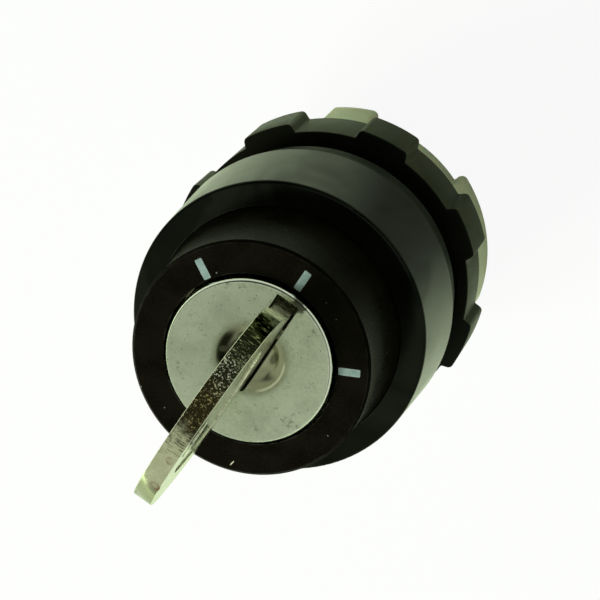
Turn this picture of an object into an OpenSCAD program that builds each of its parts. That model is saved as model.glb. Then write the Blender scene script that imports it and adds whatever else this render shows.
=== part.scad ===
/* [Mounting barrel] */
// Radius of the threaded barrel, made for a 22.3 mm panel hole
barrel_r = 11.0; // [10.9:0.05:11.1]
// Length of the barrel behind the panel
neck_len = 19.5; // [19.3:0.1:22]
// Radius of the plain spigot at the barrel's rear end
spigot_r = 10.7; // [10.6:0.05:10.8]
// Length of that spigot
spigot_len = 4.4; // [4:0.1:4.6]
// Radius of the bore that holds the lock and the cam
bore_r = 9.45; // [9.4:0.05:9.6]
// Radius of the barrel's flange, behind the bezel
flange_r = 14.75; // [14.4:0.05:14.9]
// Thickness of the flange
flange_t = 1.7; // [1.4:0.1:2.4]
// Height of the inner lip at the rear end of the bore
rear_lip_h = 3.5; // [3.2:0.1:3.6]
// Width of the tab that stops the barrel turning in the panel
tab_w = 3.0; // [2.6:0.1:3.2]
// How far the tab stands out of the barrel
tab_out = 1.0; // [0.6:0.1:1.4]

/* [Gasket] */
// Thickness of the panel gasket
gasket_t = 2.4; // [1.6:0.1:3]
// Outer radius of the panel gasket
gasket_r = 14.55; // [14:0.05:14.7]

/* [Bezel] */
// Bezel radius at its rear edge
bezel_rear_r = 15.2; // [15:0.05:15.6]
// Bezel radius at its front edge
bezel_front_r = 14.75; // [14.6:0.05:15]
// Height of the bezel's side
bezel_h = 10.4; // [9.6:0.1:12]
// Rounding of the bezel's front edge
bezel_edge = 0.35; // [0.2:0.05:0.6]
// Thickness of the bezel's front plate
bezel_plate = 1.6; // [1.2:0.1:2]

/* [Dial hub] */
// Hub radius where it leaves the bezel
hub_base_r = 12.25; // [12:0.05:12.4]
// Hub radius at its face
hub_face_r = 11.65; // [11.3:0.05:11.9]
// Height of the hub above the bezel
hub_rise = 9.5; // [9:0.1:11]
// Chamfer round the hub's face
hub_chamfer = 0.25; // [0.1:0.05:0.4]
// Gap between the lock face and the opening round it
hub_gap = 0.3; // [0.2:0.05:0.5]
// Thickness of the lip round that opening
hub_lip = 2.8; // [2.4:0.1:3.2]

/* [Index marks] */
// Angle of the side marks from 12 o'clock
mark_angle = 60; // [50:1:65]
// Width of a mark
mark_w = 0.72; // [0.6:0.02:1]
// Rounding of a mark's corners
mark_corner = 0.12; // [0.05:0.01:0.2]
// Distance from the opening round the lock face to a mark
mark_inset = 0.12; // [0.1:0.01:0.4]
// Distance from a mark to the hub's chamfer
mark_margin = 0.75; // [0.5:0.05:1.2]
// Depth of a mark in the hub
mark_depth = 0.4; // [0.3:0.05:0.6]

/* [Mounting nut] */
// Radius of the nut between its lugs
nut_root_r = 15.35; // [15:0.05:15.5]
// Radius over the nut's lugs
nut_lug_r = 16.3; // [16:0.05:16.8]
// Thickness of the nut
nut_t = 5.9; // [5:0.1:6.2]
// Number of lugs
nut_lugs = 8; // [6:1:10]
// Width of a lug in degrees, at its tip
nut_lug_deg = 18.4; // [14:0.2:20]
// Angle of the first lug from 12 o'clock
nut_phase = 8.7; // [0:0.1:22]
// Gap between the panel gasket and the nut
nut_gap = 2.6; // [2.2:0.1:3.2]

/* [Coupling ring] */
// Radius of the ring between its lugs
ring_root_r = 13.75; // [13.4:0.05:14]
// Radius over the ring's lugs
ring_lug_r = 15.0; // [14.6:0.05:15.3]
// Thickness of the ring
ring_t = 6.0; // [5.6:0.1:6.2]
// Gap between the nut and the ring
ring_gap = 0.3; // [0.2:0.05:0.5]
// Angle by which the ring turns to unlock
ring_turn = 30; // [20:1:36]
// Width in degrees of a bayonet tooth
tooth_deg = 14; // [10:1:16]
// Height of a bayonet tooth
tooth_h = 1.6; // [1.2:0.1:1.8]
// Depth of the bayonet grooves in the barrel
groove_depth = 0.55; // [0.4:0.05:0.6]

/* [Lock] */
// Radius of the plug
plug_r = 7.3; // [7.2:0.05:7.4]
// Wall of the lock face's skirt round the plug, with its seam
cap_wall = 0.85; // [0.7:0.05:0.9]
// How far the lock face stands above the hub
cap_proud = 0.8; // [0.5:0.05:1.2]
// Thickness of the lock face
cap_t = 1.3; // [1.1:0.05:1.5]
// Rounding of the lock face's edge
cap_edge = 0.4; // [0.2:0.05:0.45]
// Radius of the dish in the lock face
dish_r = 3.75; // [3.4:0.05:3.9]
// Depth of the dish
dish_depth = 0.9; // [0.5:0.05:0.95]
// Length of the lock, from its face to the shell's rear
lock_len = 28.0; // [27.6:0.1:28.4]
// Thickness of the shell's closed end
shell_floor = 5.0; // [4.8:0.1:5.2]
// Distance between wafers
wafer_pitch = 2.8; // [2.6:0.05:2.9]
// Thickness of a wafer
wafer_t = 1.2; // [1:0.05:1.3]
// Half width of a wafer
wafer_half = 2.6; // [2.5:0.05:2.8]

/* [Key] */
// Thickness of the key
key_t = 1.9; // [1.8:0.05:2.1]
// Radius of the key's bow
bow_r = 9.75; // [9:0.05:10.5]
// Straight length between the bow's two round ends
bow_straight = 1.8; // [0:0.1:3]
// Height of the bow's lower round centre above the lock face
bow_rise = 10.9; // [10.8:0.1:12]
// Blade edge nearest 12 o'clock, from the axis
blade_top = 5.5; // [5.2:0.05:5.6]
// Height of the blade
blade_h = 7.6; // [7.2:0.1:7.8]
// Length of the blade below its shoulder
blade_len = 18.2; // [17.8:0.1:18.6]
// How far the shank's shoulder stands out of the blade, towards 12 o'clock
shank_front = 1.0; // [0.6:0.05:1.05]
// How far it stands out on the other side
shank_back = 0.4; // [0.3:0.05:0.8]
// Depth of the shoulder below the lock face
shoulder_depth = 2.15; // [1.9:0.05:2.4]
// Radius of the hole in the bow
bow_hole_r = 1.9; // [1.5:0.1:1.95]

/* [Cam and plungers] */
// Angle by which the key turns to each side
turn_angle = 60; // [45:1:60]
// Plunger stroke to each side of its middle
stroke = 1.2; // [0.8:0.1:1.3]
// Distance of each plunger from the axis
plunger_x = 6.0; // [5.8:0.1:6.2]
// Radius of a plunger's head
plunger_r = 1.6; // [1.4:0.1:1.7]
// Radius of a plunger's stem
stem_r = 1.3; // [1.1:0.05:1.4]
// Radius of the cam
cam_r = 8.4; // [8.2:0.05:8.6]
// Thickness of the plate that guides the plungers
guide_t = 1.5; // [1.3:0.1:1.6]

/* [Hidden] */

// Facets of a circle that stays a true curve
round_fn = 96;
// Small overlap that makes a cut pass through a face, and the reach of a cut through a whole piece
eps = 0.05;
beyond = 1;
// Clearance of a turning or sliding fit, on the radius
run_gap = 0.07;
// Clearance between pieces that are fixed together
fit_gap = 0.05;

// Heights from the barrel's rear rim up to the lock face
seat_z = neck_len;
flange_z = seat_z + gasket_t;
bezel_z = flange_z + flange_t;
front_z = bezel_z + bezel_h;
hub_z = front_z + hub_rise;
cap_z = hub_z + cap_proud;

// Radii from the plug outwards
cap_r = plug_r + cap_wall;
hub_hole_r = cap_r + hub_gap;
shell_r = bore_r - 0.1;

// Boss inside the bezel, and the hub's flange that sits on it
hub_ledge = 0.65;
boss_r = hub_base_r + hub_ledge;
hub_flange_t = 1.2;
boss_z = front_z - bezel_plate - fit_gap - hub_flange_t;
bezel_bore = boss_r + 0.1;
bezel_hole = hub_base_r + 0.08;
peg_r = 0.6;
peg_out = 0.5;
peg_at = (boss_r + bore_r) / 2 + peg_out;
peg_depth = 1.6;

// Index marks
mark_start = hub_hole_r + mark_inset;
mark_end = hub_face_r - hub_chamfer - mark_margin;
mark_gap = 0.01;

// Snap bead of the bezel, in a groove of the boss
bead_up = 2.4;
bead_z = bezel_z + bead_up;
bead_r = 0.3;

// Tab that stops the barrel turning, and the notch for it in the gasket
tab_r = barrel_r + tab_out;
tab_short = 0.9;
tab_z = seat_z - nut_gap + tab_short;
tab_root = 1.2;
notch_gap = 0.12;
gasket_gap = 0.15;
gasket_edge = 0.4;

// Nut and coupling ring, counted back from the panel seat
nut_z = seat_z - nut_gap - nut_t;
ring_z = nut_z - ring_gap - ring_t;
lug_flare = 0.2;
lug_root = 1.1;
thread_chamfer = 0.5;
face_groove_in = 2.2;
face_groove_out = 1.2;
face_groove_t = 0.25;

// Bayonet of the coupling ring
tooth_z = ring_z + ring_t / 2 - tooth_h / 2 - 0.2;
groove_play = 0.2;
groove_r = barrel_r - groove_depth;
groove_side_deg = 1;
tooth_count = 3;
tooth_phase = 75;

// Lock shell and plug
shell_z = cap_z - lock_len;
shell_top = hub_z - hub_lip - 0.2;
shell_ledge = 0.95;
shell_flange_r = bore_r + shell_ledge;
shell_flange_t = 1.4;
shell_key_w = 2.2;
shell_key_out = 0.8;
shell_key_r = shell_flange_r + shell_key_out;
shell_floor_z = shell_z + shell_floor;
plug_z = shell_floor_z + 0.2;
plug_top = cap_z - cap_t;
cap_skirt_z = shell_top + 0.6;
face_seal_t = 0.55;
face_seal_gap = 0.15;
seal_up = 1.6;
seal_z = shell_floor_z + seal_up;
seal_groove = 0.75;
seal_half = 0.6;
seal_wire = 0.42;

// Key, in the middle of its slot
slot_gap = 0.29;
blade_gap = 0.12;
slot_half = key_t / 2 + slot_gap;
blade_low = blade_top - blade_h;
shank_low = blade_low - shank_back;
shank_high = blade_top + shank_front;
slot_in = shank_low - 0.5;
slot_end_wall = 0.25;
slot_out = cap_r - cap_edge - slot_end_wall;
plug_slot_wall = 0.4;
shoulder_z = cap_z - shoulder_depth;
tip_z = shoulder_z - blade_len;
tip_bevel = 1.4;
tip_slope = 1.6;
key_room = 0.6;
ward_w = 1.3;
ward_depth = 0.45;
ward_left_up = 2.4;
ward_right_up = 4.7;
ward_left = blade_low + ward_left_up;
ward_right = blade_low + ward_right_up;

// Bow of the key, with its sunk panels and its hole
bow_low = cap_z + bow_rise;
bow_high = bow_low + bow_straight;
hole_from_edge = 3.6;
hole_z = bow_high + bow_r - hole_from_edge;
panel_rim = 3.55;
panel_sunk = 0.15;
hole_rim = 1.1;

// Wafers, from the lock face down, with their cut depths in the key
wafer_count = 5;
cut_depth = [0.6, 1.4, 0.9, 1.7, 0.4];
cut_flat = wafer_t - 0.1;
cut_flare = 0.55;
first_wafer_down = 3.45;
first_wafer = shoulder_z - first_wafer_down;
wafer_gap = 0.08;
wafer_tip_r = plug_r - 0.1;
wafer_travel = 1.2;
wafer_room = 0.2;
window_gap = 0.15;
window_side = 0.2;
ear_w = 1.8;
ear_h = 1.4;
ear_room = 0.2;
pocket_low = -5.2;
wafer_coil_r = 0.42;
wafer_coil_x = wafer_half + ear_w / 2 + 0.1;
wafer_wire = 0.12;
spring_gap = 0.02;

// Tail of the plug, its clip and the screw that holds the cam
tail_r = 3.5;
tail_flat = 2.6;
tail_round_z = shell_z + 0.35;
clip_r = 4.6;
clip_mouth = 4.6;
clip_groove_r = 2.9;
clip_t = 0.7;
clip_z = tail_round_z + 0.45;
clip_play = 0.15;
clip_room_r = clip_r + 0.3;
clip_fit = 0.03;
screw_r = 1.2;
thread_gap = 0.02;
screw_head_r = 2.2;
screw_head_t = 1.4;
screw_len = 5.6;
screw_room = 0.3;
cross_w = 0.5;
cross_len = 2.8;
cross_depth = 0.7;

// Cam, a round block with a sloped lower face
cam_h = 3.9;
cam_web = 3.0;
cam_tail = 1.8;
cam_top = shell_z - 0.4;
cam_mid = cam_top - cam_h;
cam_slope = atan(stroke / (plunger_x * sin(turn_angle)));
cam_low = cam_mid - cam_r * tan(cam_slope) - beyond;
cam_floor = cam_top - cam_web;
tail_z = cam_top - cam_tail;
stop_at = 6.6;
stop_r = 0.9;
stop_len = 1.5;
stop_side = 0.1;
stop_groove = stop_len + 0.2;

// Detent ball, drawn at the height at which it rides over the cam
ball_r = 1.1;
ball_z = cam_top + ball_r + fit_gap;
ball_hole = ball_r + run_gap;
detent_depth = 4.2;
detent_coil_r = 0.75;
detent_wire = 0.14;
dimple_r = 1.3;
dimple_depth = 0.45;

// Plungers and their guide plate
lip_w = 0.85;
guide_z = rear_lip_h;
guide_top = guide_z + guide_t;
guide_hole_r = 2.2;
head_gap = 0.2;
head_z = cam_mid - head_gap - plunger_r / cos(cam_slope);
collar_r = 2.5;
collar_t = 0.8;
collar_z = head_z - plunger_r - 0.36;
stem_out = 1.5;
stem_z = guide_z - stem_out;
coil_r = 1.95;
coil_wire = 0.22;

// Cylinder between two heights
module post(r, z1, z2) {
    translate([0, 0, z1]) cylinder(r = r, h = z2 - z1, $fn = round_fn);
}

// Ring between two radii and two heights
module ring(r1, r2, z1, z2) {
    difference() {
        post(r2, z1, z2);
        post(r1, z1 - eps, z2 + eps);
    }
}

// Box given by its lowest and its highest corner
module block(low, high) {
    translate(low) cube([high[0] - low[0], high[1] - low[1], high[2] - low[2]]);
}

// Part of a ring between two angles, less than 180 degrees apart
module sector(r1, r2, a1, a2, z1, z2) {
    translate([0, 0, z1])
        linear_extrude(z2 - z1)
            intersection() {
                difference() {
                    circle(r = r2, $fn = round_fn);
                    circle(r = r1, $fn = round_fn);
                }
                slice(r2, a1, a2);
            }
}

// Copies of the child, evenly round the axis
module around(count, start = 0) {
    for (i = [0 : count - 1])
        rotate([0, 0, start + i * 360 / count]) children();
}

// Outer side of the bezel, with its rounded front edge
module bezel_profile() {
    polygon([[bezel_bore, bezel_z], [bezel_rear_r, bezel_z],
             [bezel_front_r, front_z - bezel_edge],
             [bezel_front_r - bezel_edge, front_z], [bezel_bore, front_z]]);
    translate([bezel_front_r - bezel_edge, front_z - bezel_edge])
        circle(r = bezel_edge, $fn = round_fn);
    translate([bezel_hole, front_z - bezel_plate])
        square([bezel_bore - bezel_hole + eps, bezel_plate]);
    translate([bezel_bore, bead_z]) circle(r = bead_r, $fn = round_fn);
}

module bezel() {
    color("#1c1d1f") rotate_extrude($fn = round_fn) bezel_profile();
}

// Flank of the hub: an arc that is upright at the face and flares at the bezel
module hub_profile() {
    flare = hub_base_r - hub_face_r;
    drop = hub_z - hub_chamfer - front_z;
    flank = (drop * drop + flare * flare) / (2 * flare);
    difference() {
        polygon([[bore_r, boss_z], [boss_r, boss_z], [boss_r, boss_z + hub_flange_t],
                 [hub_base_r, boss_z + hub_flange_t], [hub_base_r, hub_z - hub_chamfer],
                 [hub_face_r, hub_z - hub_chamfer], [hub_face_r - hub_chamfer, hub_z],
                 [hub_hole_r, hub_z], [hub_hole_r, hub_z - hub_lip], [bore_r, hub_z - hub_lip]]);
        intersection() {
            translate([hub_face_r + flank, hub_z - hub_chamfer]) circle(r = flank, $fn = 8 * round_fn);
            translate([hub_face_r - eps, front_z]) square([flare + beyond, drop + eps]);
        }
    }
}

// Bars of the index marks: the inlays, or with a clearance the recesses that hold them
module mark_bars(grow, top) {
    side = mark_w / 2 + grow;
    low = mark_start - grow;
    high = mark_end + grow;
    inset = mark_corner + grow;
    for (a = [-mark_angle, 0, mark_angle])
        rotate([0, 0, a])
            translate([0, 0, hub_z - mark_depth])
                linear_extrude(top - hub_z + mark_depth) {
                    translate([inset - side, low]) square([2 * (side - inset), high - low]);
                    translate([-side, low + inset]) square([2 * side, high - low - 2 * inset]);
                    for (x = [inset - side, side - inset], y = [low + inset, high - inset])
                        translate([x, y]) circle(r = inset, $fn = round_fn);
                }
}

// Flange of the lock shell with the key that stops it turning, grown by a clearance
module shell_flange(grow, low) {
    high = boss_z + shell_flange_t + grow;
    post(shell_flange_r + grow, low, high);
    block([-shell_key_w / 2 - grow, -shell_key_r - grow, low], [shell_key_w / 2 + grow, 0, high]);
}

module hub() {
    color("#221d18") {
        difference() {
            rotate_extrude($fn = round_fn) hub_profile();
            shell_flange(fit_gap, boss_z - eps);
            mark_bars(mark_gap, hub_z + eps);
        }
        for (s = [-1, 1])
            translate([s * peg_at, 0, 0]) post(peg_r, boss_z - peg_depth, boss_z + eps);
    }
}

module index_marks() {
    color("#b9c4c2") mark_bars(0, hub_z);
}

module barrel() {
    color("#17181a") difference() {
        union() {
            post(spigot_r, 0, spigot_len + eps);
            post(barrel_r, spigot_len, flange_z + eps);
            post(flange_r, flange_z, bezel_z);
            post(boss_r, bezel_z - eps, boss_z);
            block([-tab_w / 2, barrel_r - tab_root, tab_z], [tab_w / 2, tab_r, flange_z + eps]);
        }
        post(bore_r, rear_lip_h, boss_z + eps);
        post(bore_r - lip_w, -eps, rear_lip_h + eps);
        rotate_extrude($fn = round_fn)
            translate([bezel_bore, bead_z]) circle(r = bead_r + fit_gap, $fn = round_fn);
        for (s = [-1, 1])
            translate([s * peg_at, 0, 0])
                post(peg_r + fit_gap, boss_z - peg_depth - fit_gap, boss_z + eps);
        around(tooth_count, tooth_phase) bayonet_groove();
    }
}

// Groove in which a tooth turns, with its way in from the rear
module bayonet_groove() {
    half = tooth_deg / 2 + groove_side_deg;
    entry_half = tooth_deg / 2 + groove_side_deg / 2;
    sector(groove_r, barrel_r + beyond, -half, ring_turn + half,
           tooth_z - groove_play, tooth_z + tooth_h + groove_play);
    sector(groove_r, barrel_r + beyond, ring_turn - entry_half, ring_turn + entry_half, -beyond, tooth_z);
}

module gasket() {
    inner = barrel_r + gasket_gap;
    color("#16201a") difference() {
        rotate_extrude($fn = round_fn) {
            translate([inner, seat_z]) square([gasket_r - gasket_edge - inner, gasket_t]);
            translate([inner, seat_z + gasket_edge])
                square([gasket_r - inner, gasket_t - 2 * gasket_edge]);
            for (z = [seat_z + gasket_edge, flange_z - gasket_edge])
                translate([gasket_r - gasket_edge, z]) circle(r = gasket_edge, $fn = round_fn);
        }
        block([-tab_w / 2 - notch_gap, 0, seat_z - eps],
              [tab_w / 2 + notch_gap, tab_r + notch_gap, flange_z + eps]);
    }
}

// Outline of the nut: castellations, wider at their roots, round a plain disc
module nut_outline() {
    tip_half = nut_lug_r * sin(nut_lug_deg / 2);
    inner = nut_root_r - lug_root;
    outer = nut_lug_r + beyond;
    inner_half = tip_half + (nut_lug_r - inner) * lug_flare;
    outer_half = tip_half - (outer - nut_lug_r) * lug_flare;
    circle(r = nut_root_r, $fn = round_fn);
    intersection() {
        circle(r = nut_lug_r, $fn = round_fn);
        around(nut_lugs, 90 + nut_phase)
            polygon([[inner, -inner_half], [outer, -outer_half],
                     [outer, outer_half], [inner, inner_half]]);
    }
}

module mounting_nut() {
    color("#1f201e") difference() {
        translate([0, 0, nut_z]) linear_extrude(nut_t) nut_outline();
        post(barrel_r + run_gap, nut_z - eps, nut_z + nut_t + eps);
        for (end = [0, 1])
            translate([0, 0, nut_z + end * nut_t])
                mirror([0, 0, end])
                    translate([0, 0, -eps])
                        cylinder(r1 = barrel_r + thread_chamfer + eps, r2 = barrel_r,
                                 h = thread_chamfer + eps, $fn = round_fn);
        ring(nut_root_r - face_groove_in, nut_root_r - face_groove_out,
             nut_z + nut_t - face_groove_t, nut_z + nut_t + eps);
    }
}

// Lugs of the coupling ring as start and end angles, clockwise from 12 o'clock
ring_lugs = [[-40.6, -20.5], [22.7, 78.7], [139.4, 159.5], [202.7, 258.7]];

// Pie slice between two angles, less than 180 degrees apart
module slice(r, a1, a2) {
    half = (a2 - a1) / 2;
    far = r / cos(half) + beyond;
    rotate([0, 0, (a1 + a2) / 2])
        polygon([[0, 0], [far * cos(half), -far * sin(half)], [far * cos(half), far * sin(half)]]);
}

// Outline of the coupling ring: wide and narrow lugs on a plain disc
module ring_outline() {
    circle(r = ring_root_r, $fn = round_fn);
    intersection() {
        circle(r = ring_lug_r, $fn = round_fn);
        for (lug = ring_lugs)
            slice(ring_lug_r, 90 - lug[1], 90 - lug[0]);
    }
}

module coupling_ring() {
    color("#d6dbc8") difference() {
        translate([0, 0, ring_z]) linear_extrude(ring_t) ring_outline();
        difference() {
            post(barrel_r + run_gap, ring_z - eps, ring_z + ring_t + eps);
            around(tooth_count, tooth_phase)
                sector(groove_r + run_gap, barrel_r + beyond, -tooth_deg / 2, tooth_deg / 2,
                       tooth_z, tooth_z + tooth_h);
        }
    }
}

module lock_shell() {
    color("#a8a9a4") difference() {
        union() {
            post(shell_r, shell_z, shell_top);
            shell_flange(0, boss_z);
            translate([0, stop_at, 0]) post(stop_r, shell_z - stop_len, shell_z + eps);
        }
        post(plug_r + run_gap, shell_floor_z, shell_top + eps);
        post(tail_r + run_gap, shell_z - eps, shell_floor_z + eps);
        post(clip_room_r, shell_z - eps, clip_z + clip_t + clip_play);
        ring(shell_r - seal_groove, shell_r + beyond, seal_z - seal_half, seal_z + seal_half);
        for (s = [0, 1])
            mirror([0, s, 0])
                block([-wafer_half - wafer_room, 0, wafer_z(wafer_count - 1) - wafer_t],
                      [wafer_half + wafer_room, plug_r + wafer_travel, wafer_z(0) + wafer_t]);
        translate([0, -stop_at, 0]) post(ball_hole, shell_z - eps, shell_z + detent_depth);
    }
}

module shell_seal() {
    color("#121212") translate([0, 0, seal_z])
        rotate_extrude($fn = round_fn)
            translate([shell_r - seal_groove + seal_wire, 0]) circle(r = seal_wire, $fn = round_fn);
}

module face_seal() {
    color("#121212")
        ring(plug_r + face_seal_gap, hub_hole_r - face_seal_gap, shell_top, shell_top + face_seal_t);
}

// Edge of the lock face: a quarter round between its side and its top
module cap_profile() {
    translate([0, plug_top]) square([cap_r - cap_edge, cap_t]);
    translate([0, plug_top]) square([cap_r, cap_t - cap_edge]);
    translate([cap_r - cap_edge, cap_z - cap_edge]) circle(r = cap_edge, $fn = round_fn);
    translate([plug_r + fit_gap, cap_skirt_z])
        square([cap_r - plug_r - fit_gap, plug_top - cap_skirt_z + eps]);
}

module lock_cap() {
    dish_sphere = (dish_r * dish_r + dish_depth * dish_depth) / (2 * dish_depth);
    color("#c3c2ba") difference() {
        rotate_extrude($fn = round_fn) cap_profile();
        translate([0, 0, cap_z - dish_depth + dish_sphere]) sphere(r = dish_sphere, $fn = round_fn);
        block([-slot_half, slot_in, plug_top - beyond], [slot_half, slot_out, cap_z + beyond]);
    }
}

// Height of a wafer's middle, counted down from the lock face
function wafer_z(i) = first_wafer - i * wafer_pitch;

// Section of the blade, seen along the axis, grown by a clearance
module blade_section(grow) {
    difference() {
        translate([-key_t / 2 - grow, blade_low - grow])
            square([key_t + 2 * grow, blade_h + 2 * grow]);
        translate([-key_t / 2 - beyond, ward_left + grow])
            square([beyond + ward_depth - grow, ward_w - 2 * grow]);
        translate([key_t / 2 - ward_depth + grow, ward_right + grow])
            square([beyond + ward_depth, ward_w - 2 * grow]);
    }
}

module lock_plug() {
    recess_z = shoulder_z - fit_gap;
    color("#c8a24c") difference() {
        union() {
            post(plug_r, plug_z, plug_top);
            post(tail_r, tail_round_z, plug_z + eps);
            intersection() {
                post(tail_r, tail_z, tail_round_z + eps);
                block([-tail_flat, -tail_flat, tail_z - beyond],
                      [tail_flat, tail_flat, tail_round_z + beyond]);
            }
        }
        ring(clip_groove_r, tail_r + beyond, clip_z - fit_gap, clip_z + clip_t + fit_gap);
        post(screw_r + thread_gap, tail_z - eps, cam_floor + screw_len + screw_room);
        translate([0, 0, tip_z - key_room])
            linear_extrude(plug_top - tip_z + key_room + beyond) blade_section(blade_gap);
        block([-slot_half, slot_in, recess_z], [slot_half, plug_r - plug_slot_wall, plug_top + beyond]);
        for (i = [0 : wafer_count - 1]) {
            z1 = wafer_z(i) - wafer_t / 2 - wafer_gap;
            z2 = wafer_z(i) + wafer_t / 2 + wafer_gap;
            block([-wafer_half - wafer_gap, -plug_r - beyond, z1],
                  [wafer_half + wafer_gap, plug_r + beyond, z2]);
            block([wafer_half - eps, pocket_low, z1],
                  [wafer_half + ear_w + wafer_gap, ear_h / 2 + ear_room, z2]);
        }
    }
}

// Wafer number i: its window lies lower by the depth of its cut in the key
module wafer(i) {
    z1 = wafer_z(i) - wafer_t / 2;
    z2 = z1 + wafer_t;
    color("#d8b866") difference() {
        union() {
            intersection() {
                post(wafer_tip_r, z1, z2);
                block([-wafer_half, -plug_r, z1 - beyond], [wafer_half, plug_r, z2 + beyond]);
            }
            block([wafer_half - eps, -ear_h / 2, z1], [wafer_half + ear_w, ear_h / 2, z2]);
        }
        block([-key_t / 2 - window_side, blade_low - window_gap - cut_depth[i], z1 - beyond],
              [key_t / 2 + window_side, blade_top + window_gap, z2 + beyond]);
    }
}

// Coil spring along Z: a tube swept round a helix
module coil(mean_r, wire_r, len, turns, steps = 12, sides = 6) {
    rings = turns * steps;
    function along(i) = wire_r + (len - 2 * wire_r) * i / rings;
    function point(i, j) = [
        (mean_r + wire_r * cos(j * 360 / sides)) * cos(i * 360 / steps),
        (mean_r + wire_r * cos(j * 360 / sides)) * sin(i * 360 / steps),
        along(i) + wire_r * sin(j * 360 / sides)];
    function id(i, j) = i * sides + j % sides;
    points = [for (i = [0 : rings], j = [0 : sides - 1]) point(i, j)];
    side_a = [for (i = [0 : rings - 1], j = [0 : sides - 1]) [id(i, j), id(i + 1, j), id(i + 1, j + 1)]];
    side_b = [for (i = [0 : rings - 1], j = [0 : sides - 1]) [id(i, j), id(i + 1, j + 1), id(i, j + 1)]];
    first = [for (j = [0 : sides - 1]) id(0, j)];
    last = [for (j = [sides - 1 : -1 : 0]) id(rings, j)];
    polyhedron(points, concat(side_a, side_b, [first, last]));
}

module wafer_springs() {
    spring_len = -ear_h / 2 - pocket_low - 2 * spring_gap;
    color("#9a9a96") for (i = [0 : wafer_count - 1])
        translate([wafer_coil_x, pocket_low + spring_gap, wafer_z(i)])
            rotate([-90, 0, 0]) coil(wafer_coil_r, wafer_wire, spring_len, 6, 8, 4);
}

// Side view of the key: X is the height across the blade, Y is along the blade
module key_outline() {
    difference() {
        union() {
            translate([0, bow_low]) circle(r = bow_r, $fn = round_fn);
            translate([0, bow_high]) circle(r = bow_r, $fn = round_fn);
            translate([-bow_r, bow_low]) square([2 * bow_r, bow_straight]);
            translate([shank_low, shoulder_z]) square([shank_high - shank_low, bow_low - shoulder_z]);
            polygon([[blade_low, shoulder_z + eps], [blade_low, tip_z + tip_bevel],
                     [blade_low + tip_bevel, tip_z], [blade_top - tip_bevel * tip_slope, tip_z],
                     [blade_top, tip_z + tip_bevel * tip_slope], [blade_top, shoulder_z + eps]]);
        }
        for (i = [0 : wafer_count - 1])
            translate([blade_top, wafer_z(i)])
                polygon([[-cut_depth[i], -cut_flat / 2], [-cut_depth[i], cut_flat / 2],
                         [eps, cut_flat / 2 + (cut_depth[i] + eps) * cut_flare],
                         [eps, -cut_flat / 2 - (cut_depth[i] + eps) * cut_flare]]);
        translate([0, hole_z]) circle(r = bow_hole_r, $fn = round_fn);
    }
}

// Sunk panel on each side of the bow, inside a plain rim
module bow_panel() {
    panel_r = bow_r - panel_rim;
    difference() {
        union() {
            translate([0, bow_low]) circle(r = panel_r, $fn = round_fn);
            translate([0, bow_high]) circle(r = panel_r, $fn = round_fn);
            translate([-panel_r, bow_low]) square([2 * panel_r, bow_straight]);
        }
        translate([0, hole_z]) circle(r = bow_hole_r + hole_rim, $fn = round_fn);
    }
}

// Turns a drawing in the key's own plane into the YZ plane, from x1 to x2
module in_key_plane(x1, x2) {
    translate([x1, 0, 0]) rotate([90, 0, 90]) linear_extrude(x2 - x1) children();
}

module key() {
    left = -key_t / 2;
    right = key_t / 2;
    color("#b9b7a8") difference() {
        in_key_plane(left, right) key_outline();
        in_key_plane(left - beyond, left + panel_sunk) bow_panel();
        in_key_plane(right - panel_sunk, right + beyond) bow_panel();
        block([left - beyond, ward_left, 0], [left + ward_depth, ward_left + ward_w, shoulder_z]);
        block([right - ward_depth, ward_right, 0], [right + beyond, ward_right + ward_w, shoulder_z]);
    }
}

module plug_clip() {
    color("#8d8f92") difference() {
        ring(clip_groove_r + clip_fit, clip_r, clip_z, clip_z + clip_t);
        block([-clip_mouth / 2, 0, clip_z - beyond],
              [clip_mouth / 2, clip_r + beyond, clip_z + clip_t + beyond]);
    }
}

module cam() {
    color("#e4e2d6") difference() {
        post(cam_r, cam_low, cam_top);
        translate([0, 0, cam_mid])
            rotate([cam_slope, 0, 0])
                block([-2 * cam_r, -2 * cam_r, -cam_r], [2 * cam_r, 2 * cam_r, 0]);
        block([-tail_flat - fit_gap, -tail_flat - fit_gap, tail_z - fit_gap],
              [tail_flat + fit_gap, tail_flat + fit_gap, cam_top + eps]);
        post(screw_r + fit_gap, cam_floor - eps, cam_top);
        post(screw_head_r + screw_room, cam_low - beyond, cam_floor);
        stop_slot();
        for (a = [-turn_angle, 0, turn_angle])
            rotate([0, 0, a])
                translate([0, -stop_at, cam_top - dimple_depth + dimple_r])
                    sphere(r = dimple_r, $fn = round_fn);
    }
}

// Curved slot in the cam's top, whose ends stop the shell's pin
module stop_slot() {
    half_w = stop_r + stop_side;
    end = turn_angle + asin((stop_r + stop_side) / stop_at);
    sector(stop_at - half_w, stop_at + half_w, 90 - end, 90 + end,
           cam_top - stop_groove, cam_top + eps);
}

module cam_screw() {
    color("#9b9c9f") difference() {
        union() {
            post(screw_r, cam_floor - eps, cam_floor + screw_len);
            post(screw_head_r, cam_floor - screw_head_t, cam_floor);
        }
        for (a = [0, 90])
            rotate([0, 0, a])
                block([-cross_len / 2, -cross_w / 2, cam_floor - screw_head_t - eps],
                      [cross_len / 2, cross_w / 2, cam_floor - screw_head_t + cross_depth]);
    }
}

module detent_ball() {
    color("#b4b6b8") translate([0, -stop_at, ball_z]) sphere(r = ball_r, $fn = round_fn);
}

module detent_spring() {
    low = ball_z + ball_r + spring_gap;
    color("#9a9a96") translate([0, -stop_at, low])
        coil(detent_coil_r, detent_wire, shell_z + detent_depth - spring_gap - low, 4, 10, 5);
}

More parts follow.
